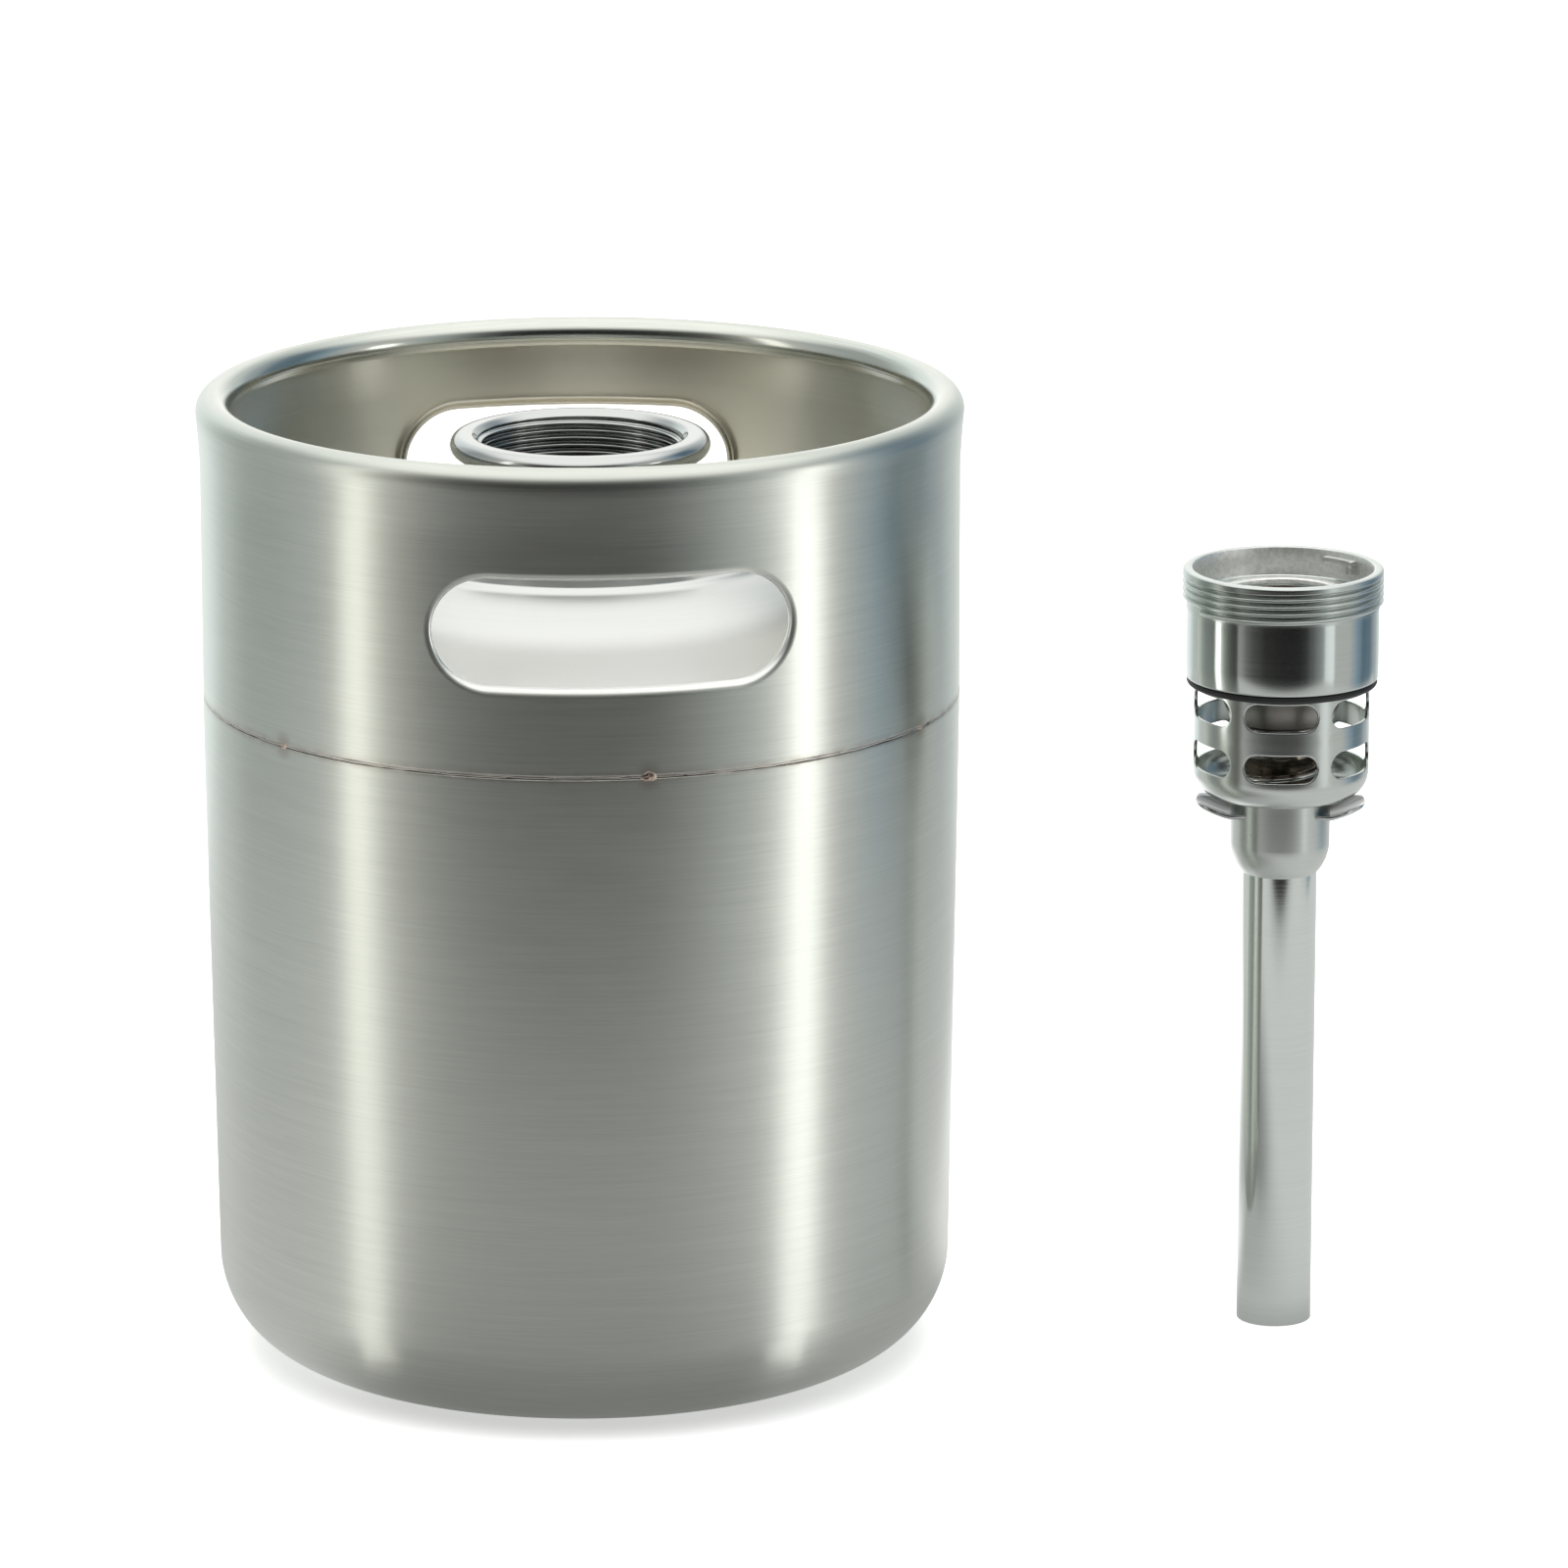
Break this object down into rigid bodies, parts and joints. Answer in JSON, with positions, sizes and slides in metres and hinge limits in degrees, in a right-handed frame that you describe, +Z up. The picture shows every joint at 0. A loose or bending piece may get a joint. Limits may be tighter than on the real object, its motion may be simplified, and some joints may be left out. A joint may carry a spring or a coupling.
{
  "type": "mini keg",
  "caption": "Small stainless beer keg with a handle skirt, recessed threaded neck and its screw-in extractor spear standing beside it.",
  "frame": {"origin": "centre of the keg's foot ring, on the floor and on the keg's own axis", "axes": "+Z up along the keg's axis, +X from the keg towards the spear, -Y towards the front, the side with the lower handle hole"},
  "size_m": [0.2906, 0.187, 0.2396],
  "materials": {
    "keg_steel": "drawn stainless sheet, fine circumferential satin brushing, semi bright",
    "head_steel": "drawn stainless sheet, bright satin",
    "neck_steel": "turned and polished stainless",
    "weld_metal": "ground weld, slightly brown from heat",
    "spear_steel": "turned stainless, smooth satin outside, rough blasted inside the cup",
    "cage_steel": "pressed stainless, smooth",
    "tube_steel": "mirror polished stainless tube",
    "wing_steel": "spring stainless, polished",
    "spring_steel": "bright drawn stainless wire",
    "cup_steel": "pressed stainless, matt",
    "black_rubber": "smooth moulded rubber",
    "seal_rubber": "smooth moulded dark brown rubber"
  },
  "bodies": {
    "keg": {"vessel_shell": "keg_steel", "top_head": "head_steel", "handle_skirt": "keg_steel", "neck_boss": "neck_steel", "neck_weld": "weld_metal", "girth_weld": "weld_metal", "tack_welds": "weld_metal"},
    "siphon": {"down_tube": "tube_steel", "valve_cup": "cup_steel", "valve_seal": "seal_rubber", "seal_ring": "spring_steel", "ball_spring_seat": "cup_steel", "valve_spring": "spring_steel", "ball_spring": "spring_steel"},
    "spear_body": {"spear_housing": "spear_steel", "coupler_lugs": "spear_steel", "housing_o_ring": "black_rubber", "slotted_cage": "cage_steel", "safety_wings": "wing_steel", "bell_sleeve": "cage_steel"},
    "ball": {"valve_ball": "spring_steel"}
  },
  "joints": [
    {"name": "spear_carry", "type": "slide", "parent": "keg", "child": "siphon", "axis": [-0.2677, -0.0193, 0.9633], "range_m": [0, 0.6436]},
    {"name": "housing_slide", "type": "slide", "parent": "siphon", "child": "spear_body", "axis": [0, 0, 1], "range_m": [0, 0.006], "stiffness_N_per_m": 6000, "springref_m": -0.01, "deforming": ["valve_spring"]},
    {"name": "ball_drop", "type": "slide", "parent": "siphon", "child": "ball", "axis": [0, 0, 1], "range_m": [-0.0045, 0], "stiffness_N_per_m": 300, "springref_m": 0.01, "deforming": ["ball_spring"]}
  ]
}
